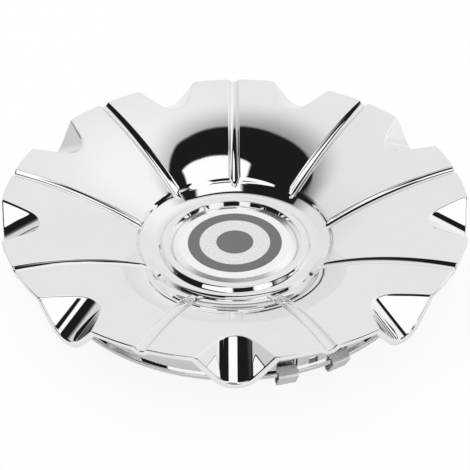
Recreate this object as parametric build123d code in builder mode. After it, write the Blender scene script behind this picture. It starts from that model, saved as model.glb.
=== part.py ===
from build123d import *
import os
from math import asin, cos, degrees, radians, sin, tan

# Wheel centre cap: a chrome-plated dish of nine panels with a sunken hub, a round medallion
# in the hub's recess, and spring clips on the collar that plugs into the wheel.
# Millimetres. The Z axis is the wheel's axis, and Z = 0 is the plane that the clips stand on.

# Dish, sized on its upper face: one bulging arc from its foot next to the hub out to the rim
cap_diameter = 190.0
wall = 2.2
panel_count = 9
first_groove_angle = 90.0
rim_slope = 10.7
foot_diameter = 82.8
foot_height = 11.2
foot_slope = 32.5
foot_round = 5.0

# Grooves between the panels, each a round channel that bends up at the dish's foot and runs out
groove_round = 2.6
groove_depth = 1.4
runout_round = 8.0
runout_rise = 45.0

# Scallop pockets at the rim, each a round-bottomed trough that falls outwards
pocket_depth = 12.0
pocket_slope = 26.3
pocket_flank = 46.0
pocket_round = 9.2

# Hub: a short steep wall below the dish's foot, a cone, a valley, a raised lip and the medallion's recess.
# Each run and land is the straight stretch between two rounds.
hub_wall_slope = 57.0
hub_wall_run = 1.5
hub_wall_round = 2.0
cone_slope = 28.2
cone_run = 3.75
cove_round = 7.7
valley_land = 0.2
valley_round = 1.0
lip_slope = 50.0
lip_run = 1.4
lip_round = 1.0
lip_land = 2.45
recess_depth = 2.8
recess_flare = 1.35
recess_round = 0.5

# Medallion, bonded to the recess floor
medallion_clearance = 0.45
medallion_thickness = 1.6
medallion_edge = 0.6
medallion_bevel = 2.4
medallion_round = 2.5

# Collar under the dish, with a bead round its end
collar_diameter = 156.8
collar_wall = 2.2
collar_end_height = 5.8
bead_depth = 1.2
bead_height = 2.0
bead_round = 0.5

# Spring clips in pairs, each pair close to a groove, with a sight window between the two
pair_count = 3
first_pair_angle = 291.4
clip_spread_angle = 15.2
clip_width = 7.4
clip_strip = 0.7
clip_bend = 1.0
clip_reach = 2.9
clip_fold_height = 7.2
clip_tip_height = 8.8
clip_leg_top = 13.5
clip_foot = 2.2
clip_clearance = 0.2
window_top = 12.8
sight_width = 4.0
sight_height = 3.0

# Worked out from the sizes above
cap_radius = cap_diameter / 2
foot_radius = foot_diameter / 2
collar_radius = collar_diameter / 2
collar_inner_radius = collar_radius - collar_wall

dish_arc = (cap_radius - foot_radius) / (sin(radians(foot_slope)) - sin(radians(rim_slope)))
rim_height = foot_height + dish_arc * (cos(radians(rim_slope)) - cos(radians(foot_slope)))
panel_step = 360 / panel_count
first_pocket_angle = first_groove_angle + panel_step / 2
clip_leg_radius = collar_inner_radius - clip_clearance - clip_strip / 2
pair_angles = [first_pair_angle + 360 / pair_count * pair for pair in range(pair_count)]
clip_angles = [middle + side * clip_spread_angle / 2 for middle in pair_angles for side in (-1, 1)]


def radial_plane(angle):
    """Upright plane through the axis: x runs outwards at this angle, y runs up."""
    a = radians(angle)
    return Plane(origin=(0, 0, 0), x_dir=(cos(a), sin(a), 0), z_dir=(sin(a), -cos(a), 0))


def dish_slope(radius):
    """Slope of the dish at a radius, in degrees."""
    return degrees(asin(sin(radians(rim_slope)) + (cap_radius - radius) / dish_arc))


def dish_height(radius):
    """Height of the dish's upper face at a radius."""
    return rim_height - dish_arc * (cos(radians(rim_slope)) - cos(radians(dish_slope(radius))))


def slope_way(slope):
    """Unit step along a slope."""
    return Vector(cos(radians(slope)), sin(radians(slope)))


def bow(start, start_slope, end_slope, radius):
    """Draw a Bezier curve along an arc between two slopes and give its end; a negative radius bulges."""
    a = radians(start_slope)
    b = radians(end_slope)
    handle = radius * tan((b - a) / 4) * 4 / 3
    end = start + Vector(sin(b) - sin(a), cos(a) - cos(b)) * radius
    controls = (start, start + slope_way(start_slope) * handle, end - slope_way(end_slope) * handle, end)
    Bezier(*[tuple(point) for point in controls])
    return end


def dish_curve(lift, start, reach):
    """Draw the dish line between two radii, lifted square to itself, and give its ends."""
    slope = dish_slope(start)
    inner = Vector(start, dish_height(start)) + slope_way(slope + 90) * lift
    return inner, bow(inner, slope, dish_slope(reach), -dish_arc - lift)


# Corners of the hub's profile before rounding, from the dish's foot inwards
wall_reach = hub_wall_round * tan(radians(hub_wall_slope - cone_slope) / 2)
cove_reach = cove_round * tan(radians(cone_slope) / 2)
valley_reach = valley_round * tan(radians(lip_slope) / 2)
lip_reach = lip_round * tan(radians(lip_slope) / 2)
foot_corner = Vector(foot_radius, foot_height)
wall_corner = foot_corner - slope_way(hub_wall_slope) * (hub_wall_run + wall_reach)
cone_corner = wall_corner - slope_way(cone_slope) * (wall_reach + cone_run + cove_reach)
valley_corner = cone_corner - Vector(cove_reach + valley_land + valley_reach, 0)
lip_corner = valley_corner - slope_way(-lip_slope) * (valley_reach + lip_run + lip_reach)
recess_corner = lip_corner - Vector(lip_reach + lip_land, 0)
recess_floor_radius = recess_corner.X - recess_flare
recess_floor_height = recess_corner.Y - recess_depth
medallion_radius = recess_floor_radius - medallion_clearance

# Underside of the hub: a flat floor, then one wall below the cone and the short wall
half_turn = (hub_wall_slope - cone_slope) / 2
under_height = recess_floor_height - wall
under_foot = foot_corner - slope_way(hub_wall_slope + 90) * wall
under_wall = wall_corner - slope_way(cone_slope + half_turn + 90) * (wall / cos(radians(half_turn)))
under_cone_radius = under_wall.X - (under_wall.Y - under_height) / tan(radians(cone_slope))

past_rim = cap_radius + wall
plain_plane = radial_plane(first_groove_angle + panel_step / 5)
collar_top = dish_height(collar_radius - collar_wall / 2) - wall / 2


def pocket_block(growth):
    """Trough of one pocket, out along +X, open at the top and grown by a wall all round."""
    fall = radians(pocket_slope)
    flank = radians(pocket_flank)
    top = pocket_depth * 2
    apex = pocket_round * (1 - 1 / cos(flank)) - growth / cos(flank)
    half_width = (top - apex) / tan(flank)
    mouth = Plane(
        origin=(cap_radius, 0, rim_height - pocket_depth),
        x_dir=(0, 1, 0),
        z_dir=(cos(fall), 0, -sin(fall)),
    )
    with BuildPart() as block:
        with BuildSketch(mouth):
            with BuildLine():
                trough = FilletPolyline(
                    (-half_width, top), (0, apex), (half_width, top), radius=pocket_round + growth
                )
                Line(trough @ 1, trough @ 0)
            make_face()
        extrude(amount=pocket_depth * 3, both=True)
    return block.part


def groove_tube(growth):
    """Round bar along one groove, over +X, grown by a wall all round."""
    with BuildPart() as tube:
        with BuildLine(Plane.XZ) as path:
            inner_end = dish_curve(groove_round - groove_depth, foot_radius, past_rim)[0]
            chord = slope_way(foot_slope - runout_rise / 2) * (2 * sin(radians(runout_rise / 2)))
            bow(inner_end - chord * runout_round, foot_slope - runout_rise, foot_slope, runout_round)
        with BuildSketch(Plane(origin=path.wire() @ 0, z_dir=path.wire() % 0)):
            Circle(groove_round + growth)
        sweep(path=path.wire())
    return tube.part


pocket_cut = pocket_block(0)
groove_cut = groove_tube(0)

# All that lies below the middle of the dish wall, which trims the skins under pockets and grooves
with BuildPart() as under_dish:
    with BuildSketch(plain_plane):
        with BuildLine():
            inner_end, outer_end = dish_curve(-wall / 2, foot_radius, past_rim)
            Polyline(outer_end, (outer_end.X, 0), (inner_end.X, 0), inner_end)
        make_face()
    revolve(axis=Axis.Z)

# Wall that each pocket and groove has below it
with BuildPart() as pocket_skin:
    add(pocket_block(wall))
    add(under_dish.part, mode=Mode.INTERSECT)
    add(pocket_cut, mode=Mode.SUBTRACT)

with BuildPart() as groove_skin:
    add(groove_tube(wall))
    add(under_dish.part, mode=Mode.INTERSECT)
    add(groove_cut, mode=Mode.SUBTRACT)

# Moulding: dish and hub as one wall with the collar below, then pockets, grooves and windows
with BuildPart() as cap_shell:
    with BuildSketch(plain_plane) as section:
        with BuildLine():
            upper = FilletPolyline(
                (-wall, recess_floor_height),
                (recess_floor_radius, recess_floor_height),
                tuple(recess_corner),
                tuple(lip_corner),
                tuple(valley_corner),
                tuple(cone_corner),
                tuple(wall_corner),
                tuple(foot_corner),
                radius=[recess_round, recess_round, lip_round, valley_round, cove_round, hub_wall_round],
            )
            lower = FilletPolyline(
                (-wall, under_height),
                (under_cone_radius, under_height),
                tuple(under_wall),
                tuple(under_foot),
                radius=[cove_round + wall, hub_wall_round + wall],
            )
            Line(upper @ 0, lower @ 0)
            Line(upper @ 1, lower @ 1)
        make_face()
        with BuildLine():
            upper_foot, upper_rim = dish_curve(0, foot_radius, past_rim)
            lower_foot, lower_rim = dish_curve(-wall, foot_radius, past_rim)
            Line(upper_foot, lower_foot)
            Line(upper_rim, lower_rim)
        make_face()
        fillet(section.vertices().sort_by_distance((foot_radius, foot_height))[0], foot_round)
        with Locations((past_rim, 0)):
            Rectangle(past_rim * 2, rim_height * 4, mode=Mode.INTERSECT)
    revolve(axis=Axis.Z)
    with BuildSketch(plain_plane) as collar_section:
        with Locations((collar_inner_radius, collar_end_height)):
            Rectangle(collar_wall, collar_top - collar_end_height, align=Align.MIN)
        with Locations((collar_radius, collar_end_height)):
            Rectangle(bead_depth, bead_height, align=Align.MIN)
        bead_corners = collar_section.vertices().group_by(Axis.X)[-1]
        fillet(bead_corners, bead_round)
    revolve(axis=Axis.Z)
    with PolarLocations(0, panel_count, first_pocket_angle):
        add(pocket_cut, mode=Mode.SUBTRACT)
    with PolarLocations(0, panel_count, first_pocket_angle):
        add(pocket_skin.part)
    with PolarLocations(0, panel_count, first_groove_angle):
        add(groove_skin.part)
    Cylinder(cap_radius, rim_height * 4, mode=Mode.INTERSECT)
    with PolarLocations(0, panel_count, first_groove_angle):
        add(groove_cut, mode=Mode.SUBTRACT)
    for angle in clip_angles:
        with BuildSketch(radial_plane(angle)):
            with Locations((collar_inner_radius - collar_wall, clip_fold_height)):
                Rectangle(collar_wall * 3, window_top - clip_fold_height, align=Align.MIN)
            with Locations((collar_radius, collar_end_height - bead_height)):
                Rectangle(bead_depth * 2, bead_height * 3, align=Align.MIN)
        extrude(amount=clip_width / 2 + clip_clearance, both=True, mode=Mode.SUBTRACT)
    for angle in pair_angles:
        with BuildSketch(radial_plane(angle)):
            with Locations((collar_radius, (clip_fold_height + window_top) / 2)):
                Rectangle(collar_wall * 3, sight_height)
        extrude(amount=sight_width / 2, both=True, mode=Mode.SUBTRACT)

# Medallion: a flat badge with a soft bevel down to its edge
with BuildPart() as centre_medallion:
    with BuildSketch(plain_plane):
        with BuildLine():
            top = FilletPolyline(
                (0, recess_floor_height + medallion_thickness),
                (medallion_radius - medallion_bevel, recess_floor_height + medallion_thickness),
                (medallion_radius, recess_floor_height + medallion_edge),
                radius=medallion_round,
            )
            Polyline(top @ 1, (medallion_radius, recess_floor_height), (0, recess_floor_height), top @ 0)
        make_face()
    revolve(axis=Axis.Z)

os.makedirs("parts", exist_ok=True)
cap_shell.part.label = "cap_shell"
export_step(cap_shell.part, "parts/cap_shell.step")
centre_medallion.part.label = "centre_medallion"
export_step(centre_medallion.part, "parts/centre_medallion.step")

# Spring clips: a leg inside the collar, a foot under its end, and a fold that springs through the window
for number, angle in enumerate(clip_angles, start=1):
    with BuildPart() as spring_clip:
        with BuildSketch(radial_plane(angle)):
            with BuildLine():
                FilletPolyline(
                    (clip_leg_radius, clip_leg_top),
                    (clip_leg_radius, clip_strip / 2),
                    (clip_leg_radius + clip_foot, clip_strip / 2),
                    (collar_radius + clip_reach, clip_fold_height),
                    (collar_radius - collar_wall / 2, clip_tip_height),
                    radius=clip_bend,
                )
            trace(line_width=clip_strip)
        extrude(amount=clip_width / 2, both=True)
    spring_clip.part.label = f"spring_clip_{number}"
    export_step(spring_clip.part, f"parts/spring_clip_{number}.step")
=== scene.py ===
"""Looks of a chrome wheel centre cap: its moulding, medallion, spring clips and studio."""

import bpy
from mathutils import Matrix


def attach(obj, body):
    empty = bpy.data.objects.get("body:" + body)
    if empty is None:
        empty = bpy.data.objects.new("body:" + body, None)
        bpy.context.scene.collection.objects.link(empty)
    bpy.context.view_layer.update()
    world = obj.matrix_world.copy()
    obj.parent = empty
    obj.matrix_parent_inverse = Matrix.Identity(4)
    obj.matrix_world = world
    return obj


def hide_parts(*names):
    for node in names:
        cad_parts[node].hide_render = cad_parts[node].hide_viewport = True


bl_info = {
    "name": "Wheel Centre Cap",
    "version": (1, 0, 0),
    "blender": (4, 5, 0),
    "location": "View3D > Sidebar > Wheel Cap",
    "description": "Builds a chrome wheel centre cap with its medallion, spring clips and studio",
    "category": "Add Mesh",
}

from math import asin, atan2, copysign, cos, degrees, hypot, pi, radians, sin, sqrt, tan

import bpy
from bpy.props import FloatProperty, FloatVectorProperty, IntProperty, PointerProperty
from mathutils import Matrix, Vector

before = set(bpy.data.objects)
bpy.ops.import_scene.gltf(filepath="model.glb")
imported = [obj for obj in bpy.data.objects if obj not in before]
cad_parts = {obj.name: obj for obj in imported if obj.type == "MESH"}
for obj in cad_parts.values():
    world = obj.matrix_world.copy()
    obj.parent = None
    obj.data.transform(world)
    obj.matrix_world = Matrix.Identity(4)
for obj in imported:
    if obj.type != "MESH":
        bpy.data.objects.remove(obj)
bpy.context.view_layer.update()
MM = 0.001
UP = Vector((0, 0, 1))
NUDGE = 1e-6

# Mesh steps: inside and outside the split of each face, and round the medallion
UPPER_STEPS = (12, 10)
LOWER_STEPS = (10, 5)
MEDALLION_SIDES = 192

# What the chrome mirrors: headings rise from the back over the top to the camera, sides go right
BACKDROP_TONE = 0.86
CANOPY_EDGE = 76.2
CANOPY_TONE = 0.012
BOX_START = 90.6
BOX_LEFT = -7.0
BOX_RIGHT = 21.0
BOX_TONE = 1.1
BOX_END = (147.0, 149.0)
CAMERA_HEADINGS = (120.0, 147.0)
CAMERA_SIDES = (-3.0, 22.0)
TABLE_HEADINGS = (148.0, 158.0)
TABLE_SIDES = (-8.0, 28.0)
FRONT_START = (157.0, 159.0)
FRONT_LEFT = (-25.0, -8.0)
FRONT_RIGHT = (18.0, 42.0)
CARD_SIDES = (40.0, 49.5)
CARD_TONE = 0.94
WASH_TONE = 0.85
FILL_TONE = 0.85

BODY = "root"
SHELL_NODE = "cap_shell"
MEDALLION_NODE = "centre_medallion"
CLIP_NODES = sorted(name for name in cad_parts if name.startswith("spring_clip"))


def length(name, description, millimetres):
    """A size in metres, written here in millimetres."""
    return FloatProperty(name=name, description=description, default=millimetres * MM,
                         unit="LENGTH", subtype="DISTANCE", precision=5)


def angle(name, description, in_degrees):
    """An angle in radians, written here in degrees."""
    return FloatProperty(name=name, description=description, default=radians(in_degrees), subtype="ANGLE")


def colour(name, description, red, green, blue):
    """A linear colour."""
    return FloatVectorProperty(name=name, description=description, default=(red, green, blue, 1),
                               size=4, min=0, max=1, subtype="COLOR")


class ShellSizes(bpy.types.PropertyGroup):
    """Sizes of the chrome moulding."""
    cap_radius: length("Cap radius", "Radius of the rim", 95.0)
    wall: length("Wall", "Thickness of the moulding", 2.2)
    panel_count: IntProperty(name="Panels", description="Number of panels, grooves and pockets", default=9)
    first_groove: angle("First groove", "Direction of the first groove", 90.0)
    rim_slope: angle("Rim slope", "Slope of the dish at its rim", 10.7)
    foot_radius: length("Foot radius", "Inner edge of the dish", 41.4)
    foot_height: length("Foot height", "Height of the dish's inner edge", 11.2)
    foot_slope: angle("Foot slope", "Slope of the dish at its foot", 32.5)
    foot_round: length("Foot round", "Round between the dish and the hub's wall", 5.0)
    rim_round: length("Rim round", "Round along the rim's two edges", 0.8)
    groove_round: length("Groove round", "Radius of each groove's channel", 2.6)
    groove_depth: length("Groove depth", "Depth of each groove", 1.4)
    runout_round: length("Run-out round", "Radius on which each groove rises out inside the foot", 8.0)
    groove_crease: length("Groove crease", "Radius of the round along each groove's edges", 0.9)
    pocket_depth: length("Pocket depth", "Depth of each pocket at the rim", 12.0)
    pocket_slope: angle("Pocket slope", "Fall of each pocket's floor", 26.3)
    pocket_flank: angle("Pocket flank", "Slope of each pocket's sides", 46.0)
    pocket_round: length("Pocket round", "Radius of each pocket's floor", 9.2)
    pocket_crease: length("Pocket crease", "Half width of the round along each pocket's edge", 0.7)
    under_crease: length("Under crease", "Half width of the same round below", 0.2)
    hub_wall_slope: angle("Hub wall slope", "Slope of the short wall below the dish's foot", 57.0)
    hub_wall_run: length("Hub wall run", "Straight stretch of that wall", 1.5)
    hub_wall_round: length("Hub wall round", "Round between that wall and the cone", 2.0)
    cone_slope: angle("Cone slope", "Slope of the cone round the hub", 28.2)
    cone_run: length("Cone run", "Straight stretch of the cone", 3.75)
    cove_round: length("Cove round", "Round between the cone and the valley", 7.7)
    valley_land: length("Valley land", "Flat in the valley", 0.2)
    valley_round: length("Valley round", "Round between the valley and the lip", 1.0)
    lip_slope: angle("Lip slope", "Slope from the valley up to the lip", 50.0)
    lip_run: length("Lip run", "Straight stretch of that slope", 1.4)
    lip_round: length("Lip round", "Round over the lip", 1.0)
    lip_land: length("Lip land", "Flat on the lip", 2.45)
    recess_depth: length("Recess depth", "Depth of the medallion's recess", 2.8)
    recess_flare: length("Recess flare", "How far the recess wall leans out", 1.35)
    recess_round: length("Recess round", "Round along the recess edges", 0.5)
    collar_radius: length("Collar radius", "Outer radius of the collar", 78.4)
    collar_wall: length("Collar wall", "Thickness of the collar", 2.2)
    collar_end: length("Collar end", "Height of the collar's end", 5.8)
    bead_depth: length("Bead depth", "How far the collar's bead stands out", 1.2)
    bead_height: length("Bead height", "Height of the collar's bead", 2.0)
    bead_round: length("Bead round", "Round along the bead", 0.5)
    window_sill: length("Window sill", "Lower edge of the clip windows", 7.2)
    window_top: length("Window top", "Upper edge of the clip windows", 12.8)
    window_width: length("Window width", "Width of the clip windows", 7.8)
    sight_width: length("Sight width", "Width of the small windows between two clips", 4.0)
    sight_height: length("Sight height", "Height of the small windows", 3.0)


class MedallionSizes(bpy.types.PropertyGroup):
    """Sizes of the badge in the hub."""
    clearance: length("Clearance", "Gap between the badge and the recess", 0.45)
    thickness: length("Thickness", "Thickness at the middle", 1.6)
    edge: length("Edge", "Thickness at the rim", 0.6)
    bevel: length("Bevel", "Width of the bevelled border", 2.4)
    bevel_round: length("Bevel round", "Round between the flat and the bevel", 2.5)
    disc_radius: length("Disc radius", "Radius of the dark disc", 7.9)
    ring_inner: length("Ring inner", "Inner radius of the dark ring", 15.0)
    ring_outer: length("Ring outer", "Outer radius of the dark ring", 20.0)


class ClipSizes(bpy.types.PropertyGroup):
    """Sizes of the spring clips."""
    pair_count: IntProperty(name="Pairs", description="Number of pairs of clips", default=3)
    first_pair: angle("First pair", "Direction of the first pair", 291.4)
    spread: angle("Spread", "Angle between the two clips of a pair", 15.2)
    width: length("Width", "Width of the strip", 7.4)
    strip: length("Strip", "Thickness of the strip", 0.7)
    edge_round: length("Edge round", "Round along the strip's edges", 0.16)
    bend: length("Bend", "Radius of the strip's bends", 1.0)
    reach: length("Reach", "How far the fold stands out of the collar", 2.9)
    fold_height: length("Fold height", "Height of the fold", 7.2)
    tip_height: length("Tip height", "Height of the tip in the window", 8.8)
    leg_top: length("Leg top", "Height of the leg inside the collar", 13.5)
    foot: length("Foot", "Length of the foot under the collar", 2.2)
    clearance: length("Clearance", "Gap between the leg and the collar", 0.2)


class CapColours(bpy.types.PropertyGroup):
    """Colours of the finishes."""
    chrome: colour("Chrome", "Mirror plating", 0.90, 0.905, 0.91)
    back_plating: colour("Back plating", "Duller plating of the underside", 0.70, 0.70, 0.71)
    silver: colour("Silver", "Border of the medallion", 0.99, 0.99, 0.99)
    print_grey: colour("Print grey", "Dark print of the medallion", 0.125, 0.125, 0.125)
    pale_print: colour("Pale print", "Pale grained ring of the medallion", 0.88, 0.88, 0.88)
    steel: colour("Steel", "Bright steel of the clips", 0.95, 0.95, 0.95)
    floor: colour("Floor", "Studio floor", 0.90, 0.90, 0.90)


class StudioSettings(bpy.types.PropertyGroup):
    """Camera and light."""
    camera_place: FloatVectorProperty(name="Camera place", description="Where the camera stands",
                                      default=(0.0001, -0.33157, 0.27137),
                                      subtype="TRANSLATION", unit="LENGTH")
    camera_tilt: angle("Camera tilt", "How far the camera looks below the horizon", 38.16)
    camera_roll: angle("Camera roll", "How far the camera leans", -0.41)
    camera_lens: FloatProperty(name="Camera lens", description="Focal length in millimetres", default=76.36)
    floor_size: FloatProperty(name="Floor size", description="Side of the floor", default=12.0, unit="LENGTH")
    lamp_power: FloatProperty(name="Lamp power", description="Power of the soft lamp", default=3.0,
                              unit="POWER")


def left_of(way):
    """A flat step turned a quarter turn to the left."""
    return Vector((-way.y, way.x))


def level_way(slope):
    """Flat unit step along a slope."""
    return Vector((cos(slope), sin(slope)))


def mitred(corner, slope, next_slope, depth):
    """The corner below a corner of a flat line, a wall's thickness away from both of its sides."""
    half_turn = (next_slope - slope) / 2
    return corner - left_of(level_way(slope + half_turn)) * (depth / cos(half_turn))


def turned(step, turn):
    """A flat step turned by an angle."""
    return Vector((step.x * cos(turn) - step.y * sin(turn), step.x * sin(turn) + step.y * cos(turn)))


def turn_between(way, next_way):
    """Signed angle from one flat step to the next."""
    return atan2(way.x * next_way.y - way.y * next_way.x, way.dot(next_way))


def rounded(points, radii, steps=6):
    """Pairs of a point and its left normal along a line whose corners are arcs."""
    ways = [(b - a).normalized() for a, b in zip(points, points[1:])]
    line = [(points[0], left_of(ways[0]))]
    for corner, radius, way, next_way in zip(points[1:-1], radii, ways, ways[1:]):
        turn = turn_between(way, next_way)
        start = corner - way * radius * tan(abs(turn) / 2)
        spoke = left_of(way) * copysign(radius, turn)
        for part in spread(0, turn, steps):
            line.append((start + spoke - turned(spoke, part), turned(left_of(way), part)))
    line.append((points[-1], left_of(ways[-1])))
    return line


def spread(start, end, steps):
    """Evenly spaced numbers or points, both ends included."""
    return [start + (end - start) * (step / steps) for step in range(steps + 1)]


def switch_point(test, low, high):
    """Where a test turns from false at the low end to true at the high end."""
    for _ in range(40):
        middle = (low + high) / 2
        low, high = (low, middle) if test(middle) else (middle, high)
    return (low + high) / 2


def polar(radius, direction, height):
    """A point from its radius, direction and height."""
    return Vector((radius * cos(direction), radius * sin(direction), height))


def bent(start, corner, end, start_normal, end_normal, steps=4):
    """Pairs of a point and a normal along a soft bend from one face to the next."""
    line = []
    for t in spread(0, 1, steps):
        point = start * (1 - t) ** 2 + corner * (2 * t * (1 - t)) + end * t**2
        line.append((point, (start_normal * (1 - t) + end_normal * t).normalized()))
    return line


class Skin:
    """A mesh made of patches. Shared points are welded, and each face corner keeps its own normal."""

    def __init__(self):
        self.index = {}
        self.faces = []
        self.normals = []
        self.finishes = []

    def face(self, corners, finish=0):
        """One face from pairs of a point and its outward normal, wound to face outwards."""
        kept = {}
        for point, normal in corners:
            number = self.index.setdefault(tuple(round(c, 8) for c in point), len(self.index))
            kept.setdefault(number, (point, normal))
        if len(kept) < 3:
            return
        points = [point for point, _ in kept.values()]
        facing = Vector((0, 0, 0))
        lean = Vector((0, 0, 0))
        for a, b in zip(points[1:], points[2:]):
            facing += (a - points[0]).cross(b - points[0])
        for _, normal in kept.values():
            lean += normal
        numbers = list(kept)
        if facing.dot(lean) < 0:
            numbers.reverse()
        self.faces.append(numbers)
        self.normals.extend(kept[number][1] for number in numbers)
        self.finishes.append(finish)

    def patch(self, rows, finish=0):
        """A grid of pairs of a point and an outward normal."""
        for row, next_row in zip(rows, rows[1:]):
            for a, b, c, d in zip(row, row[1:], next_row[1:], next_row):
                self.face((a, b, c, d), finish)

    def build(self, name, materials, node):
        """Make the object that stands for a CAD node."""
        mesh = bpy.data.meshes.new(name)
        mesh.from_pydata(list(self.index), [], self.faces)
        mesh.shade_smooth()
        mesh.normals_split_custom_set([tuple(normal.normalized()) for normal in self.normals])
        for material in materials:
            mesh.materials.append(material)
        mesh.polygons.foreach_set("material_index", self.finishes)
        piece = bpy.data.objects.new(name, mesh)
        bpy.context.scene.collection.objects.link(piece)
        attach(piece, BODY)
        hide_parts(node)
        return piece


class Dish:
    """Heights and profiles of the moulding, worked out from its sizes."""

    def __init__(self, sizes):
        s = self.s = sizes
        self.arc = (s.cap_radius - s.foot_radius) / (sin(s.foot_slope) - sin(s.rim_slope))
        self.rim_height = s.foot_height + self.arc * (cos(s.rim_slope) - cos(s.foot_slope))
        self.step = 2 * pi / s.panel_count
        self.face_end = s.cap_radius - s.rim_round
        self.middle = (s.foot_radius + s.cap_radius) / 2

    def height(self, radius, lift):
        """Height and slope of the dish, lifted square to itself."""
        s = self.s
        bend = self.arc + lift
        slope = asin((s.cap_radius + self.arc * sin(s.rim_slope) - radius) / bend)
        return self.rim_height - self.arc * cos(s.rim_slope) + bend * cos(slope), slope

    def groove_edge(self):
        """Offsets at which the round of a groove's edge leaves the dish and meets the channel."""
        s = self.s
        reach = s.groove_round + s.groove_crease
        edge = sqrt(reach**2 - (reach - s.groove_depth) ** 2)
        return edge, edge * s.groove_round / reach

    def groove_lift(self, offset, growth):
        """Height of a groove over the dish, square to it."""
        s = self.s
        if not growth:
            edge, touch = self.groove_edge()
            if abs(offset) > touch:
                beside = max(0.0, edge - abs(offset))
                return sqrt(s.groove_crease**2 - beside**2) - s.groove_crease
        bend = s.groove_round + growth
        return min(s.groove_round - s.groove_depth - sqrt(bend**2 - offset**2), -growth)

    def groove_height(self, offset, radius, growth):
        """Height of a groove, which bends up inside the dish's foot and runs out through the hub's wall."""
        s = self.s
        lift = self.groove_lift(offset, growth)
        if growth or radius > s.foot_radius - sin(s.foot_slope) * lift:
            return self.height(radius, lift)[0]
        spoke = s.groove_round - s.groove_depth + s.runout_round
        middle = Vector((s.foot_radius, s.foot_height)) + left_of(level_way(s.foot_slope)) * spoke
        bend = s.runout_round + sqrt(max(0.0, s.groove_round**2 - offset**2))
        return middle.y - sqrt(bend**2 - (radius - middle.x) ** 2)

    def groove_offsets(self, growth):
        """Offsets of the mesh lines along a groove, from one edge to the other."""
        s = self.s
        if not growth:
            edge, touch = self.groove_edge()
            turns = spread(0, asin(touch / s.groove_round), 3)
            crease = [edge - s.groove_crease * sin(turn) for turn in turns]
            return [-offset for offset in crease] + spread(-touch, touch, 6)[1:-1] + crease[::-1]
        bend = s.groove_round + growth
        edge = sqrt(bend**2 - (bend - s.groove_depth) ** 2)
        inner = bend * sin(asin(edge / bend) - s.under_crease / bend)
        half = s.sight_width / 2
        return [-edge - s.under_crease, -inner, *spread(-half, half, 8), inner, edge + s.under_crease]

    def pocket_floor(self, x, y, growth):
        """Height of a pocket's floor at a place along it and beside it."""
        s = self.s
        bend = s.pocket_round + growth
        if abs(y) < bend * sin(s.pocket_flank):
            rise = s.pocket_round - sqrt(bend**2 - y**2)
        else:
            rise = s.pocket_round - bend / cos(s.pocket_flank) + abs(y) * tan(s.pocket_flank)
        base = self.rim_height - s.pocket_depth + (s.cap_radius - x) * tan(s.pocket_slope)
        return base + rise / cos(s.pocket_slope)

    def pocket_drop(self, x, y, growth):
        """How far a pocket's floor lies below the dish."""
        return self.height(hypot(x, y), -growth)[0] - self.pocket_floor(x, y, growth)

    def pocket_normal(self, x, y, growth):
        """Upward normal of a pocket's floor, with the pocket along +X."""
        d = NUDGE
        run = (self.pocket_floor(x + d, y, growth) - self.pocket_floor(x - d, y, growth)) / (2 * d)
        tilt = (self.pocket_floor(x, y + d, growth) - self.pocket_floor(x, y - d, growth)) / (2 * d)
        return Vector((-run, -tilt, 1)).normalized()

    def hub_corners(self):
        """Corners of the hub's upper profile before rounding, from the recess floor to the foot."""
        s = self.s
        wall_reach = s.hub_wall_round * tan((s.hub_wall_slope - s.cone_slope) / 2)
        cove_reach = s.cove_round * tan(s.cone_slope / 2)
        valley_reach = s.valley_round * tan(s.lip_slope / 2)
        lip_reach = s.lip_round * tan(s.lip_slope / 2)
        foot = Vector((s.foot_radius, s.foot_height))
        wall = foot - level_way(s.hub_wall_slope) * (s.hub_wall_run + wall_reach)
        cone = wall - level_way(s.cone_slope) * (wall_reach + s.cone_run + cove_reach)
        valley = cone - Vector((cove_reach + s.valley_land + valley_reach, 0))
        lip = valley - level_way(-s.lip_slope) * (valley_reach + s.lip_run + lip_reach)
        recess = lip - Vector((lip_reach + s.lip_land, 0))
        return [recess - Vector((s.recess_flare, s.recess_depth)), recess, lip, valley, cone, wall, foot]

    def hub_line(self, growth):
        """Profile from the axis over the hub and round the foot on to the dish."""
        s = self.s
        floor, recess, lip, valley, cone, wall, foot = self.hub_corners()
        corners = [Vector((0, floor.y)), floor, recess, lip, valley, cone, wall]
        radii = [s.recess_round, s.recess_round, s.lip_round, s.valley_round, s.cove_round, s.hub_wall_round]
        if growth:
            wall = mitred(wall, s.cone_slope, s.hub_wall_slope, growth)
            foot = mitred(foot, s.hub_wall_slope, s.foot_slope, growth)
            height = floor.y - growth
            cone = Vector((wall.x - (wall.y - height) / tan(s.cone_slope), height))
            corners = [Vector((0, height)), cone, wall]
            radii = [s.cove_round + growth, s.hub_wall_round + growth]
        past = foot + level_way(s.foot_slope) * s.foot_round
        line = rounded(corners + [foot, past], radii + [s.foot_round])[:-1]
        fine = line[:1]
        for start, end in zip(line, line[1:]):
            on_cone = start[0].x > cone.x and (end[0] - start[0]).length > s.cone_run / 2
            fine += [(start[0].lerp(end[0], t), end[1]) for t in spread(0, 1, 8 if on_cone else 1)[1:]]
        return fine


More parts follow.
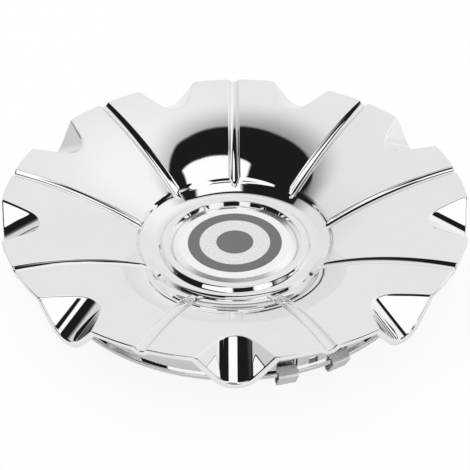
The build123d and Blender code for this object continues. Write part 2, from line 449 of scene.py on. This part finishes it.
class PocketEdge:
    """Edge of one pocket along +X, as mesh points on the dish, over the crease and on the floor."""

    def __init__(self, dish, growth, crease, steps=28):
        self.dish, self.growth = dish, growth
        self.out = -1 if growth else 1
        end = dish.face_end
        self.half = switch_point(lambda turn: self.drop(polar(end, turn, 0)) < 0, 0, dish.step / 2)
        trail = [self.edge_place(turn) for turn in spread(-self.half, self.half, 400)]
        self.places = self.even(trail, steps)
        self.creases = []
        for number, place in enumerate(self.places):
            into = self.inward(place)
            if number in (0, steps):
                direction = atan2(place.y, place.x)
                along = polar(1, direction + pi / 2, 0)
                swing = crease / into.dot(along) / end
                near, far = polar(end, direction - swing, 0), polar(end, direction + swing, 0)
            else:
                near, far = place - into * crease, place + into * crease
            near_point, near_normal = self.dish_vertex(near)
            far_point, far_normal = self.floor_vertex(far)
            middle = (near + far) / 2
            corner = Vector((middle.x, middle.y, dish.height(middle.length, -growth)[0]))
            self.creases.append(bent(near_point, corner, far_point, near_normal, far_normal))
        self.rim_turn = atan2(self.creases[-1][-1][0].y, self.creases[-1][-1][0].x)
        self.dish_turn = atan2(self.creases[-1][0][0].y, self.creases[-1][0][0].x)

    def drop(self, place):
        return self.dish.pocket_drop(place.x, place.y, self.growth)

    def edge_place(self, turn):
        """Where the edge crosses a direction, in plan."""
        def inside(radius):
            return self.drop(polar(radius, turn, 0)) > 0
        return polar(switch_point(inside, self.dish.middle, self.dish.face_end), turn, 0)

    def even(self, trail, steps):
        """The trail's places, evenly spaced along it."""
        runs = [0.0]
        for a, b in zip(trail, trail[1:]):
            runs.append(runs[-1] + (b - a).length)
        places, spot = [], 0
        for run in spread(0, runs[-1], steps):
            while spot < len(runs) - 2 and runs[spot + 1] < run:
                spot += 1
            part = (run - runs[spot]) / (runs[spot + 1] - runs[spot])
            places.append(trail[spot].lerp(trail[spot + 1], min(part, 1)))
        return places

    def inward(self, place):
        """Level step square to the edge, into the pocket."""
        step_x, step_y = Vector((NUDGE, 0, 0)), Vector((0, NUDGE, 0))
        return Vector((self.drop(place + step_x) - self.drop(place - step_x),
                       self.drop(place + step_y) - self.drop(place - step_y), 0)).normalized()

    def dish_vertex(self, place):
        """Point and outward normal on the dish."""
        radius, direction = hypot(place.x, place.y), atan2(place.y, place.x)
        height, slope = self.dish.height(radius, -self.growth)
        return polar(radius, direction, height), polar(-sin(slope), direction, cos(slope)) * self.out

    def floor_vertex(self, place):
        """Point and outward normal on the pocket's floor."""
        point = Vector((place.x, place.y, self.dish.pocket_floor(place.x, place.y, self.growth)))
        return point, self.dish.pocket_normal(place.x, place.y, self.growth) * self.out

    def floor_lines(self, steps=12):
        """Lines over the floor from the crease to the rim's round."""
        lines = []
        last = len(self.creases) - 1
        for number, crease in enumerate(self.creases):
            start = crease[-1]
            if number in (0, last):
                lines.append([start] * (steps + 1))
                continue
            turn = self.rim_turn * (2 * number / last - 1)
            end = polar(self.dish.face_end, turn, 0)
            places = spread(Vector((start[0].x, start[0].y, 0)), end, steps)[1:]
            lines.append([start] + [self.floor_vertex(place) for place in places])
        return lines


class MeshLine:
    """One line of a face's mesh, from the axis outwards."""

    def __init__(self, dish, growth, groove, direction, end, in_channel=False):
        self.dish, self.growth = dish, growth
        self.groove, self.direction, self.end = groove, direction, end
        self.in_channel = in_channel
        self.out = -1 if growth else 1

    def height(self, place):
        """Height of the dish or of a groove at a place in plan."""
        if not self.in_channel:
            return self.dish.height(place.length, -self.growth)[0]
        offset = place.dot(polar(1, self.groove + pi / 2, 0))
        return self.dish.groove_height(offset, place.length, self.growth)

    def vertex(self, place):
        """Point and outward normal over a place in plan."""
        steps = (Vector((NUDGE, 0, 0)), Vector((0, NUDGE, 0)))
        lean = [self.height(place - step) - self.height(place + step) for step in steps]
        normal = Vector((*lean, 2 * NUDGE)).normalized()
        return place + UP * self.height(place), normal * self.out

    def at(self, radius):
        """Place in plan at a radius."""
        return polar(radius, self.direction(radius), 0)

    def inner(self, profile, to_radius, steps):
        """Hub and inner dish, out to a radius."""
        s = self.dish.s
        direction = self.direction(s.foot_radius)
        carved = self.in_channel and not self.growth
        line = []
        for point, normal in profile:
            place = polar(point.x, direction, 0)
            if carved and point.x > s.foot_radius - s.foot_round and self.height(place) < point.y:
                line.append(self.vertex(place))
            else:
                line.append((place + UP * point.y, polar(normal.x, direction, normal.y) * self.out))
        for radius in spread(profile[-1][0].x, to_radius, steps)[1:]:
            line.append(self.vertex(self.at(radius)))
        return line

    def outer(self, from_radius, steps):
        """Outer dish, from a radius to the line's end."""
        return [self.vertex(place) for place in spread(self.at(from_radius), self.end, steps)]


class ShellFace:
    """Upper or lower face of the moulding: its mesh lines, pockets and outline at the rim."""

    def __init__(self, dish, growth, clips):
        s = dish.s
        self.dish, self.growth = dish, growth
        self.pocket = PocketEdge(dish, growth, s.under_crease if growth else s.pocket_crease)
        self.offsets = dish.groove_offsets(growth)
        middle = s.collar_radius - s.collar_wall / 2
        groove_edge = asin(self.offsets[-1] / middle)
        side = dish.step / 2 - self.pocket.dish_turn - groove_edge
        window = asin(s.window_width / 2 / middle)
        turn = (clips.first_pair - s.first_groove + dish.step / 2) % dish.step - dish.step / 2
        self.shares = []
        for centre in (clips.spread / 2 + turn, clips.spread / 2 - turn):
            near, far = (min(1.0, (centre + reach - groove_edge) / side) for reach in (-window, window))
            rest = spread(far, 1, 2)[1:] if far < 1 else []
            self.shares.append([*spread(0, near, 3)[1:], *spread(near, far, 5)[1:], *rest])
        self.lines = []
        self.pocket_starts = []
        for number in range(s.panel_count):
            self.add_panel(s.first_groove + dish.step * number)
        self.lines.append(self.lines[0])

    def add_panel(self, groove):
        """Mesh lines from one groove to the next."""
        dish, edge = self.dish, self.offsets[-1]
        end = dish.face_end
        turn_end = dish.step / 2 - self.pocket.dish_turn
        for offset in self.offsets:
            def along(radius, offset=offset):
                return groove + asin(offset / radius)
            in_channel = abs(offset) < edge
            stop = polar(end, along(end), 0)
            self.lines.append(MeshLine(dish, self.growth, groove, along, stop, in_channel))
        for share in self.shares[0]:
            def rise(radius, share=share):
                near = asin(edge / radius)
                return groove + near + (turn_end - near) * share
            self.lines.append(MeshLine(dish, self.growth, groove, rise, polar(end, rise(end), 0)))
        self.pocket_starts.append(len(self.lines) - 1)
        swing = Matrix.Rotation(groove + dish.step / 2, 3, "Z")
        for place, crease in list(zip(self.pocket.places, self.pocket.creases))[1:-1]:
            def straight(radius, place=place):
                return groove + dish.step / 2 + atan2(place.y, place.x)
            stop = swing @ Vector((crease[0][0].x, crease[0][0].y, 0))
            self.lines.append(MeshLine(dish, self.growth, groove, straight, stop))
        for share in self.shares[1][::-1]:
            def fall(radius, share=share):
                near = asin(edge / radius)
                return groove + dish.step - near - (turn_end - near) * share
            self.lines.append(MeshLine(dish, self.growth, groove, fall, polar(end, fall(end), 0)))

    def swung(self, line, number):
        """A pocket's line turned to one of the pockets."""
        swing = Matrix.Rotation(self.dish.s.first_groove + self.dish.step * (number + 0.5), 3, "Z")
        return [(swing @ point, swing @ normal) for point, normal in line]

    def fill(self, skin, split, steps, finish):
        """Fill the face and give its lines at the split and its outline at the rim."""
        profile = self.dish.hub_line(self.growth)
        inner = [line.inner(profile, split[0], steps[0]) for line in self.lines]
        outer = [line.outer(split[1], steps[1]) for line in self.lines]
        skin.patch(inner, finish)
        skin.patch(outer, finish)
        outline = []
        floors = self.pocket.floor_lines()
        pocket_lines = len(self.pocket.creases) - 2
        begins = set(self.pocket_starts)
        number = 0
        while number < len(self.lines):
            outline.append(outer[number][-1])
            if number not in begins:
                number += 1
                continue
            pocket = self.pocket_starts.index(number)
            creases = [self.swung(line, pocket) for line in self.pocket.creases]
            pocket_floor = [self.swung(line, pocket) for line in floors]
            ends = [line[-1] for line in outer[number:number + pocket_lines + 2]]
            creases = [[end, *line[1:]] for end, line in zip(ends, creases)]
            skin.patch(creases, finish)
            skin.patch(pocket_floor, finish)
            outline += creases[0][1:]
            outline += [line[-1] for line in pocket_floor[1:-1]]
            outline += creases[-1][:0:-1]
            number += pocket_lines + 1
        return inner, outer, outline


def rim_bend(corner, upper, rim_round):
    """Round from a face over the rim's edge to its upright."""
    point, normal = corner
    out = Vector((point.x, point.y, 0)).normalized()
    fall = -normal.dot(out) / normal.z
    edge = point + (out + UP * fall) * rim_round
    return bent(point, edge, edge - UP * (rim_round if upper else -rim_round), normal, out)


def add_collar(skin, dish, clips, lines, tops_inside, tops_outside):
    """Collar under the dish, with its windows and the bead round its end."""
    s = dish.s
    inside = s.collar_radius - s.collar_wall
    middle = (s.window_sill + s.window_top) / 2
    bead_top = s.collar_end + s.bead_height
    levels = (s.window_top, middle + s.sight_height / 2, middle - s.sight_height / 2,
              bead_top, s.window_sill, s.collar_end)
    window_rows, sight_rows, bead_rows = (1, 2, 3, 4), (2,), (4, 5)
    pairs = [clips.first_pair + 2 * pi / clips.pair_count * pair for pair in range(clips.pair_count)]
    holders = [pair + side * clips.spread / 2 for pair in pairs for side in (-1, 1)]
    spots = [line.direction(inside + s.collar_wall / 2) for line in lines]
    middles = [a + ((b - a + pi) % (2 * pi) - pi) / 2 for a, b in zip(spots, spots[1:])]

    def near_any(spot, places, half_width):
        return any(abs((spot - place + pi) % (2 * pi) - pi) < half_width / inside for place in places)

    at_clip = [near_any(spot, holders, s.window_width / 2) for spot in middles]
    at_sight = [near_any(spot, pairs, s.sight_width / 2) for spot in middles]

    def is_open(cell, row):
        cell %= len(middles)
        return at_clip[cell] and row in window_rows or at_sight[cell] and row in sight_rows

    walls = []
    for spot, top_inside, top_outside in zip(spots, tops_inside, tops_outside):
        walls.append(([top_inside[0]] + [polar(inside, spot, level) for level in levels],
                      [top_outside[0]] + [polar(s.collar_radius, spot, level) for level in levels]))
    corners = [Vector(corner) for corner in (
        (s.collar_radius, bead_top), (s.collar_radius + s.bead_depth, bead_top),
        (s.collar_radius + s.bead_depth, s.collar_end), (s.collar_radius, s.collar_end))]
    bead = rounded(corners, (s.bead_round, s.bead_round), 4)
    for cell in range(len(middles)):
        a, b = spots[cell], spots[cell + 1]
        out_a, out_b = polar(1, a, 0), polar(1, b, 0)
        (in_a, over_a), (in_b, over_b) = walls[cell], walls[cell + 1]
        for row in range(len(levels)):
            below = row + 1
            pick = slice(row, below + 1)
            if is_open(cell, row):
                into = polar(1, a + pi / 2, 0)
                for edge, other, facing in (((in_a[pick], over_a[pick]), (cell - 1, row), into),
                                            ((in_b[pick], over_b[pick]), (cell + 1, row), -into),
                                            (((in_a[row], in_b[row]), (over_a[row], over_b[row])),
                                             (cell, row - 1), -UP),
                                            (((in_a[below], in_b[below]), (over_a[below], over_b[below])),
                                             (cell, below), UP)):
                    if not is_open(*other):
                        (p, q), (t, u) = edge
                        skin.face([(p, facing), (q, facing), (u, facing), (t, facing)])
                continue
            skin.patch([[(p, -out_a) for p in in_a[pick]], [(p, -out_b) for p in in_b[pick]]], 1)
            if row not in bead_rows or at_clip[cell]:
                skin.patch([[(p, out_a) for p in over_a[pick]], [(p, out_b) for p in over_b[pick]]])
        skin.face([(p, -UP) for p in (in_a[-1], over_a[-1], over_b[-1], in_b[-1])])
        if at_clip[cell]:
            continue
        ribs = []
        for spot in (a, b):
            ribs.append([(polar(p.x, spot, p.y), polar(n.x, spot, n.y)) for p, n in bead])
        skin.patch(ribs)
        for rib, other, side in ((ribs[0], cell - 1, -1), (ribs[1], cell + 1, 1)):
            if at_clip[other % len(middles)]:
                facing = polar(1, (a if side < 0 else b) + side * pi / 2, 0)
                skin.face([(p, facing) for p, _ in rib])


def arithmetic(operation, reflected=False):
    """An operator's method, which adds a Math node."""
    def method(self, other):
        return self.math(operation, *((other, self) if reflected else (self, other)))
    return method


class Socket:
    """A value in a node tree. Arithmetic on it adds Math nodes."""

    def __init__(self, tree, socket):
        self.tree, self.socket = tree, socket

    def math(self, operation, *values):
        return self.tree.node("ShaderNodeMath", {"operation": operation}, dict(enumerate(values)))

    __add__, __radd__ = arithmetic("ADD"), arithmetic("ADD", True)
    __sub__, __rsub__ = arithmetic("SUBTRACT"), arithmetic("SUBTRACT", True)
    __mul__, __rmul__ = arithmetic("MULTIPLY"), arithmetic("MULTIPLY", True)
    __truediv__, __rtruediv__ = arithmetic("DIVIDE"), arithmetic("DIVIDE", True)

    def most(self, other):
        return self.math("MAXIMUM", self, other)


class Nodes:
    """Writes a material's or the world's node tree."""

    def __init__(self, owner):
        owner.use_nodes = True
        self.owner = owner
        self.tree = owner.node_tree
        self.tree.nodes.clear()

    def node(self, kind, settings=None, inputs=None, output=0):
        """Add a node: its settings come first, then the values or links of its sockets."""
        node = self.tree.nodes.new(kind)
        for key, value in (settings or {}).items():
            setattr(node, key, value)
        for key, value in (inputs or {}).items():
            if isinstance(value, Socket):
                self.tree.links.new(value.socket, node.inputs[key])
            else:
                node.inputs[key].default_value = value
        return Socket(self, node.outputs[output]) if len(node.outputs) else None

    def ramp(self, value, low, high):
        """A soft step from nought at the low end to one at the high end."""
        return self.node("ShaderNodeMapRange", {"interpolation_type": "SMOOTHSTEP"},
                         {"Value": value, "From Min": low, "From Max": high})

    def band(self, value, low, high, soft):
        """One between two ends and nought outside them."""
        return self.ramp(value, low - soft, low + soft) * (1 - self.ramp(value, high - soft, high + soft))

    def blend(self, amount, first, second):
        """A colour between two."""
        return self.node("ShaderNodeMix", {"data_type": "RGBA"}, {0: amount, 6: first, 7: second}, 2)

    def noise(self, place, scale, detail=2.0, roughness=0.5):
        """Noise from nought to one, in three dimensions."""
        return self.node("ShaderNodeTexNoise", None,
                         {"Vector": place, "Scale": scale, "Detail": detail, "Roughness": roughness})

    def ray(self, kind):
        """One for rays of a kind, and nought for others."""
        return self.node("ShaderNodeLightPath", None, None, f"Is {kind} Ray")

    def place(self):
        """Place on the object, in metres."""
        return self.node("ShaderNodeTexCoord", None, None, "Object")

    def stretched(self, place, x, y, z):
        """A place with each axis scaled."""
        return self.node("ShaderNodeVectorMath", {"operation": "MULTIPLY"}, {0: place, 1: (x, y, z)})

    def parts(self, place):
        """The three numbers of a vector."""
        return [self.node("ShaderNodeSeparateXYZ", None, {0: place}, axis) for axis in "XYZ"]

    def bump(self, height, distance, strength=1.0):
        """A normal from a height."""
        return self.node("ShaderNodeBump", None,
                         {"Height": height, "Distance": distance, "Strength": strength}, "Normal")

    def surface(self, **values):
        """A Principled surface as the material's output."""
        inputs = {key.replace("_", " ").title().replace("Ior", "IOR"): value for key, value in values.items()}
        shader = self.node("ShaderNodeBsdfPrincipled", None, inputs)
        self.output(shader)

    def output(self, shader, kind="ShaderNodeOutputMaterial"):
        self.node(kind, None, {"Surface": shader})


def shaded(tint, share):
    """A colour with its three parts scaled."""
    return (*(share * part for part in tint[:3]), 1)


def mirror_plating(colours):
    """Bright chrome, with the faint ripple of a plated moulding and a trace of handling haze."""
    nodes = Nodes(bpy.data.materials.new("mirror_plating"))
    place = nodes.place()
    haze = nodes.ramp(nodes.noise(place, 38.0, 4.0, 0.6), 0.45, 0.8)
    specks = nodes.ramp(nodes.noise(place, 900.0, 2.0), 0.68, 0.8)
    ripple = nodes.noise(place, 55.0, 1.0)
    shade = shaded(colours.chrome, 0.94)
    nodes.surface(base_color=nodes.blend(haze * 0.5, colours.chrome, shade), metallic=1.0,
                  roughness=0.025 + haze * 0.02 + specks * 0.02,
                  normal=nodes.bump(ripple, 0.00004))
    return nodes.owner


def back_plating(colours):
    """Satin plating of the underside, with flow marks from the mould."""
    nodes = Nodes(bpy.data.materials.new("back_plating"))
    place = nodes.place()
    flow = nodes.noise(place, 30.0, 5.0, 0.65)
    grain = nodes.noise(place, 1500.0, 2.0)
    dull = shaded(colours.back_plating, 0.72)
    tint = nodes.blend(nodes.ramp(flow, 0.3, 0.75), colours.back_plating, dull)
    nodes.surface(base_color=tint, metallic=1.0, roughness=0.24 + flow * 0.16,
                  normal=nodes.bump(grain, 0.00003, 0.5))
    return nodes.owner


def medallion_print(sizes, colours):
    """Silver badge with a dark disc and ring, and a grained pale ring between them."""
    nodes = Nodes(bpy.data.materials.new("medallion_print"))
    place = nodes.place()
    x, y, _ = nodes.parts(place)
    radius = x.math("SQRT", x * x + y * y)
    soft = 0.00012
    disc = 1 - nodes.ramp(radius, sizes.disc_radius - soft, sizes.disc_radius + soft)
    ring = nodes.band(radius, sizes.ring_inner, sizes.ring_outer, soft)
    dark = disc.most(ring)
    pale = nodes.band(radius, sizes.disc_radius, sizes.ring_inner, soft)
    grain = nodes.noise(place, 1400.0, 3.0, 0.7)
    fleck = nodes.ramp(grain, 0.35, 0.7)
    grained = nodes.blend(fleck, colours.pale_print, shaded(colours.pale_print, 0.72))
    ground = nodes.blend(pale, colours.silver, grained)
    worn = shaded(colours.print_grey, 1.18)
    ink = nodes.blend(nodes.noise(place, 260.0, 3.0), colours.print_grey, worn)
    relief = dark * -1.0 + pale * fleck * 0.25
    nodes.surface(base_color=nodes.blend(dark, ground, ink), metallic=0.8 * (1 - dark) * (1 - pale * 0.6),
                  roughness=0.2 + dark * 0.2 + grain * 0.05, coat_weight=0.3,
                  normal=nodes.bump(relief, 0.00006))
    return nodes.owner


def clip_steel(colours):
    """Spring steel with a rolled grain along the strip."""
    nodes = Nodes(bpy.data.materials.new("clip_steel"))
    place = nodes.place()
    grain = nodes.noise(nodes.stretched(place, 1.0, 1.0, 0.06), 2400.0, 3.0, 0.6)
    patches = nodes.noise(place, 240.0, 3.0, 0.6)
    dull = shaded(colours.steel, 0.86)
    nodes.surface(base_color=nodes.blend(patches, colours.steel, dull), metallic=1.0,
                  roughness=0.2 + grain * 0.12 + patches * 0.06, normal=nodes.bump(grain, 0.00002))
    return nodes.owner


class WHEELCAP_OT_shell(bpy.types.Operator):
    """Build the chrome moulding with its panels, grooves, pockets, hub and collar."""
    bl_idname = "wheel_cap.shell"
    bl_label = "Cap Shell"

    def execute(self, context):
        scene = context.scene
        s, clips = scene.cap_shell_sizes, scene.cap_clip_sizes
        dish = Dish(s)
        skin = Skin()
        upper = ShellFace(dish, 0.0, clips)
        lower = ShellFace(dish, s.wall, clips)
        _, _, top_outline = upper.fill(skin, (dish.middle,) * 2, UPPER_STEPS, 0)
        collar = (s.collar_radius - s.collar_wall, s.collar_radius)
        inner, outer, low_outline = lower.fill(skin, collar, LOWER_STEPS, 1)
        rim = []
        for top, low in zip(top_outline, low_outline):
            rim.append(rim_bend(top, True, s.rim_round) + rim_bend(low, False, s.rim_round)[::-1])
        skin.patch(rim)
        add_collar(skin, dish, clips, lower.lines, [line[-1] for line in inner], [line[0] for line in outer])
        materials = [mirror_plating(scene.cap_colours), back_plating(scene.cap_colours)]
        skin.build("chrome_shell", materials, SHELL_NODE)
        return {"FINISHED"}


class WHEELCAP_OT_medallion(bpy.types.Operator):
    """Build the round badge in the hub's recess."""
    bl_idname = "wheel_cap.medallion"
    bl_label = "Centre Medallion"

    def execute(self, context):
        s = context.scene.cap_medallion_sizes
        floor = Dish(context.scene.cap_shell_sizes).hub_corners()[0]
        rim, seat = floor.x - s.clearance, floor.y
        top = seat + s.thickness
        level = Vector((0, 1))
        rings = (0, s.disc_radius / 2, s.disc_radius, s.ring_inner)
        profile = [(Vector((radius, top)), level) for radius in rings]
        corners = [Vector((s.ring_outer, top)), Vector((rim - s.bevel, top)), Vector((rim, seat + s.edge))]
        profile += rounded(corners, (s.bevel_round,), 8)
        side = Vector((1, 0))
        outline = [profile,
                   [(Vector((rim, seat + s.edge)), side), (Vector((rim, seat)), side)],
                   [(Vector((rim, seat)), -level), (Vector((0, seat)), -level)]]
        skin = Skin()
        directions = spread(0, 2 * pi, MEDALLION_SIDES)
        for run in outline:
            rows = []
            for direction in directions:
                rows.append([(polar(p.x, direction, p.y), polar(n.x, direction, n.y)) for p, n in run])
            skin.patch(rows)
        material = medallion_print(s, context.scene.cap_colours)
        skin.build("printed_medallion", [material], MEDALLION_NODE)
        return {"FINISHED"}


class WHEELCAP_OT_clips(bpy.types.Operator):
    """Build the bent steel clips on the collar."""
    bl_idname = "wheel_cap.clips"
    bl_label = "Spring Clips"

    def execute(self, context):
        scene = context.scene
        s, shell = scene.cap_clip_sizes, scene.cap_shell_sizes
        leg = shell.collar_radius - shell.collar_wall - s.clearance - s.strip / 2
        corners = [Vector(corner) for corner in (
            (leg, s.leg_top),
            (leg, s.strip / 2),
            (leg + s.foot, s.strip / 2),
            (shell.collar_radius + s.reach, s.fold_height),
            (shell.collar_radius - shell.collar_wall / 2, s.tip_height),
        )]
        path = rounded(corners, (s.bend,) * 3, 8)
        half_width, half_strip = s.width / 2, s.strip / 2
        outline = [Vector(corner) for corner in (
            (0, -half_strip), (half_width, -half_strip), (half_width, half_strip), (-half_width, half_strip),
            (-half_width, -half_strip), (0, -half_strip))]
        section = [(p, -n) for p, n in rounded(outline, (s.edge_round,) * 4, 3)]
        material = clip_steel(scene.cap_colours)
        for number, node in enumerate(CLIP_NODES):
            pair = s.first_pair + 2 * pi / s.pair_count * (number // 2)
            direction = pair + s.spread / 2 * (1 if number % 2 else -1)
            across = polar(1, direction + pi / 2, 0)
            skin = Skin()
            rows = []
            for point, normal in path:
                middle = polar(point.x, direction, point.y)
                thick = polar(normal.x, direction, normal.y)
                row = [(middle + across * p.x + thick * p.y, across * n.x + thick * n.y) for p, n in section]
                rows.append(row)
            skin.patch(rows)
            for row, way in ((rows[0], corners[0] - corners[1]), (rows[-1], corners[-1] - corners[-2])):
                facing = polar(way.x, direction, way.y).normalized()
                skin.face([(point, facing) for point, _ in row])
            skin.build(f"steel_clip_{number + 1}", [material], node)
        return {"FINISHED"}


class WHEELCAP_OT_stage(bpy.types.Operator):
    """Build the pale floor, the studio light and the camera."""
    bl_idname = "wheel_cap.stage"
    bl_label = "Studio Stage"

    def execute(self, context):
        scene = context.scene
        s = scene.cap_studio
        self.floor(scene, s)
        self.world(scene)
        lamp_data = bpy.data.lights.new("soft_lamp", "AREA")
        lamp_data.energy = s.lamp_power
        lamp_data.size = 0.9
        lamp = bpy.data.objects.new("soft_lamp", lamp_data)
        lamp.location = (-0.25, 0.1, 1.0)
        lamp.rotation_euler = Vector((0.25, -0.1, -1.0)).to_track_quat("-Z", "Y").to_euler()
        lamp.visible_glossy = False
        lamp.visible_camera = False
        scene.collection.objects.link(lamp)
        camera_data = bpy.data.cameras.new("photo_camera")
        camera_data.lens = s.camera_lens
        camera_data.sensor_width = 36
        camera_data.clip_start = 0.01
        camera = bpy.data.objects.new("photo_camera", camera_data)
        turn = Matrix.Rotation(pi / 2 - s.camera_tilt, 4, "X") @ Matrix.Rotation(s.camera_roll, 4, "Z")
        camera.matrix_world = Matrix.Translation(s.camera_place) @ turn
        scene.collection.objects.link(camera)
        scene.camera = camera
        scene.view_settings.view_transform = "Standard"
        return {"FINISHED"}

    def floor(self, scene, s):
        """A wide pale floor that looks white and keeps a faint shadow."""
        half = s.floor_size / 2
        mesh = bpy.data.meshes.new("studio_floor")
        corners = [(-half, -half, 0), (half, -half, 0), (half, half, 0), (-half, half, 0)]
        mesh.from_pydata(corners, [], [(0, 1, 2, 3)])
        floor = bpy.data.objects.new("studio_floor", mesh)
        scene.collection.objects.link(floor)
        nodes = Nodes(bpy.data.materials.new("studio_floor"))
        shade = nodes.node("ShaderNodeBsdfDiffuse", None, {"Color": scene.cap_colours.floor})
        seen, mirrored, through = (nodes.ray(kind) for kind in ("Camera", "Glossy", "Transmission"))
        glow = nodes.node("ShaderNodeEmission", None, {"Color": (1, 1, 1, 1), "Strength": 1 - mirrored * 0.2})
        amount = seen.most(through) * 0.9 + mirrored * 0.3
        nodes.output(nodes.node("ShaderNodeMixShader", None, {0: amount, 1: shade, 2: glow}))
        mesh.materials.append(nodes.owner)

    def world(self, scene):
        """White all round, with a studio of backdrop, dark canopy and light boxes in what chrome mirrors."""
        world = bpy.data.worlds.new("studio")
        scene.world = world
        nodes = Nodes(world)
        way = nodes.node("ShaderNodeTexCoord", None, None, "Generated")
        x, y, z = nodes.parts(way)
        heading = x.math("ARCTAN2", z, y) * degrees(1)
        side = x.math("ARCSINE", x) * degrees(1)
        room = self.backdrop(nodes, heading, side)
        box = self.light_box(nodes, heading, side)
        card = nodes.band(side, *CARD_SIDES, 1.2) * (1 - nodes.ramp(heading, 84.5, 86.5))
        wash = nodes.ramp(side, 44.0, 56.0) * nodes.ramp(heading, 104.0, 134.0) * WASH_TONE
        studio = room.most(box).most(card * CARD_TONE).most(wash)
        seen, mirrored, through = (nodes.ray(kind) for kind in ("Camera", "Glossy", "Transmission"))
        reflected = mirrored.most(through)
        plain = seen + (1 - seen) * FILL_TONE
        tone = plain * (1 - reflected) + studio * reflected
        glow = nodes.node("ShaderNodeBackground", None, {"Color": nodes.node(
            "ShaderNodeCombineColor", None, {0: tone, 1: tone, 2: tone}), "Strength": 1.0})
        nodes.output(glow, "ShaderNodeOutputWorld")

    def backdrop(self, nodes, heading, side):
        """Pale backdrop that dims upwards and to the left, up to the edge of a black canopy."""
        leftward = 0 - side
        lit = nodes.ramp(side, -10.0, 25.0) * nodes.ramp(heading, 30.0, 58.0)
        bright = BACKDROP_TONE + lit * (1 - BACKDROP_TONE)
        dim = nodes.ramp(heading - side * 0.16, 63.0, 80.0) * 0.55
        pale = bright - nodes.ramp(leftward, 18.0, 62.0) * 0.2 - dim
        blur = nodes.ramp(leftward, 28.0, 46.0)
        edge = CANOPY_EDGE - nodes.ramp(leftward, 8.0, 30.0) * 4.0
        edge = edge + blur * 6.0 + nodes.ramp(side, 13.0, 24.0) * 2.5
        spread_out = 0.7 + blur * 11.0
        canopy = nodes.ramp(heading, edge - spread_out, edge + spread_out)
        left_end = nodes.ramp(leftward, 56.0, 66.0) * nodes.ramp(heading, 50.0, 66.0)
        right_end = nodes.ramp(side, 51.0, 55.0) * nodes.ramp(heading, 62.0, 66.0)
        dark = canopy.most(left_end).most(right_end)
        return pale * (1 - dark) + dark * CANOPY_TONE

    def light_box(self, nodes, heading, side):
        """White light over the camera, wider towards the front, with dark places round the camera."""
        left = BOX_LEFT - nodes.ramp(heading, 106.0, 140.0) * 34.0
        right = BOX_RIGHT + nodes.ramp(heading, 83.0, 95.0) * 7.0 + nodes.ramp(heading, 97.0, 140.0) * 18.0
        start = BOX_START - side * 0.28
        box = (nodes.ramp(side, left - 0.8, left + 0.8) * (1 - nodes.ramp(side, right - 1.0, right + 1.0))
               * nodes.ramp(heading, start - 0.5, start + 0.5))
        camera = nodes.band(heading, *CAMERA_HEADINGS, 1.5) * nodes.band(side, *CAMERA_SIDES, 1.5)
        table = nodes.band(side, *TABLE_SIDES, 1.5) * nodes.band(heading, *TABLE_HEADINGS, 1.0)
        front = nodes.band(side, *FRONT_LEFT, 1.5) + nodes.band(side, *FRONT_RIGHT, 1.5)
        over = box * BOX_TONE * (1 - camera) * (1 - nodes.ramp(heading, *BOX_END))
        return over + table + front * nodes.ramp(heading, *FRONT_START)


class WHEELCAP_PT_panel(bpy.types.Panel):
    """Lists the pieces of the wheel cap."""
    bl_idname = "WHEELCAP_PT_panel"
    bl_label = "Wheel Centre Cap"
    bl_space_type = "VIEW_3D"
    bl_region_type = "UI"
    bl_category = "Wheel Cap"

    def draw(self, context):
        for operator in OPERATORS:
            self.layout.operator(operator.bl_idname)


GROUPS = {
    "cap_shell_sizes": ShellSizes,
    "cap_medallion_sizes": MedallionSizes,
    "cap_clip_sizes": ClipSizes,
    "cap_colours": CapColours,
    "cap_studio": StudioSettings,
}
OPERATORS = (WHEELCAP_OT_shell, WHEELCAP_OT_medallion, WHEELCAP_OT_clips, WHEELCAP_OT_stage)


def register():
    for name, group in GROUPS.items():
        bpy.utils.register_class(group)
        setattr(bpy.types.Scene, name, PointerProperty(type=group))
    for item in (*OPERATORS, WHEELCAP_PT_panel):
        bpy.utils.register_class(item)


def unregister():
    for item in (WHEELCAP_PT_panel, *reversed(OPERATORS)):
        bpy.utils.unregister_class(item)
    for name, group in GROUPS.items():
        delattr(bpy.types.Scene, name)
        bpy.utils.unregister_class(group)


def main():
    register()
    bpy.ops.wheel_cap.shell()
    bpy.ops.wheel_cap.medallion()
    bpy.ops.wheel_cap.clips()
    bpy.ops.wheel_cap.stage()


if __name__ == "__main__":
    main()
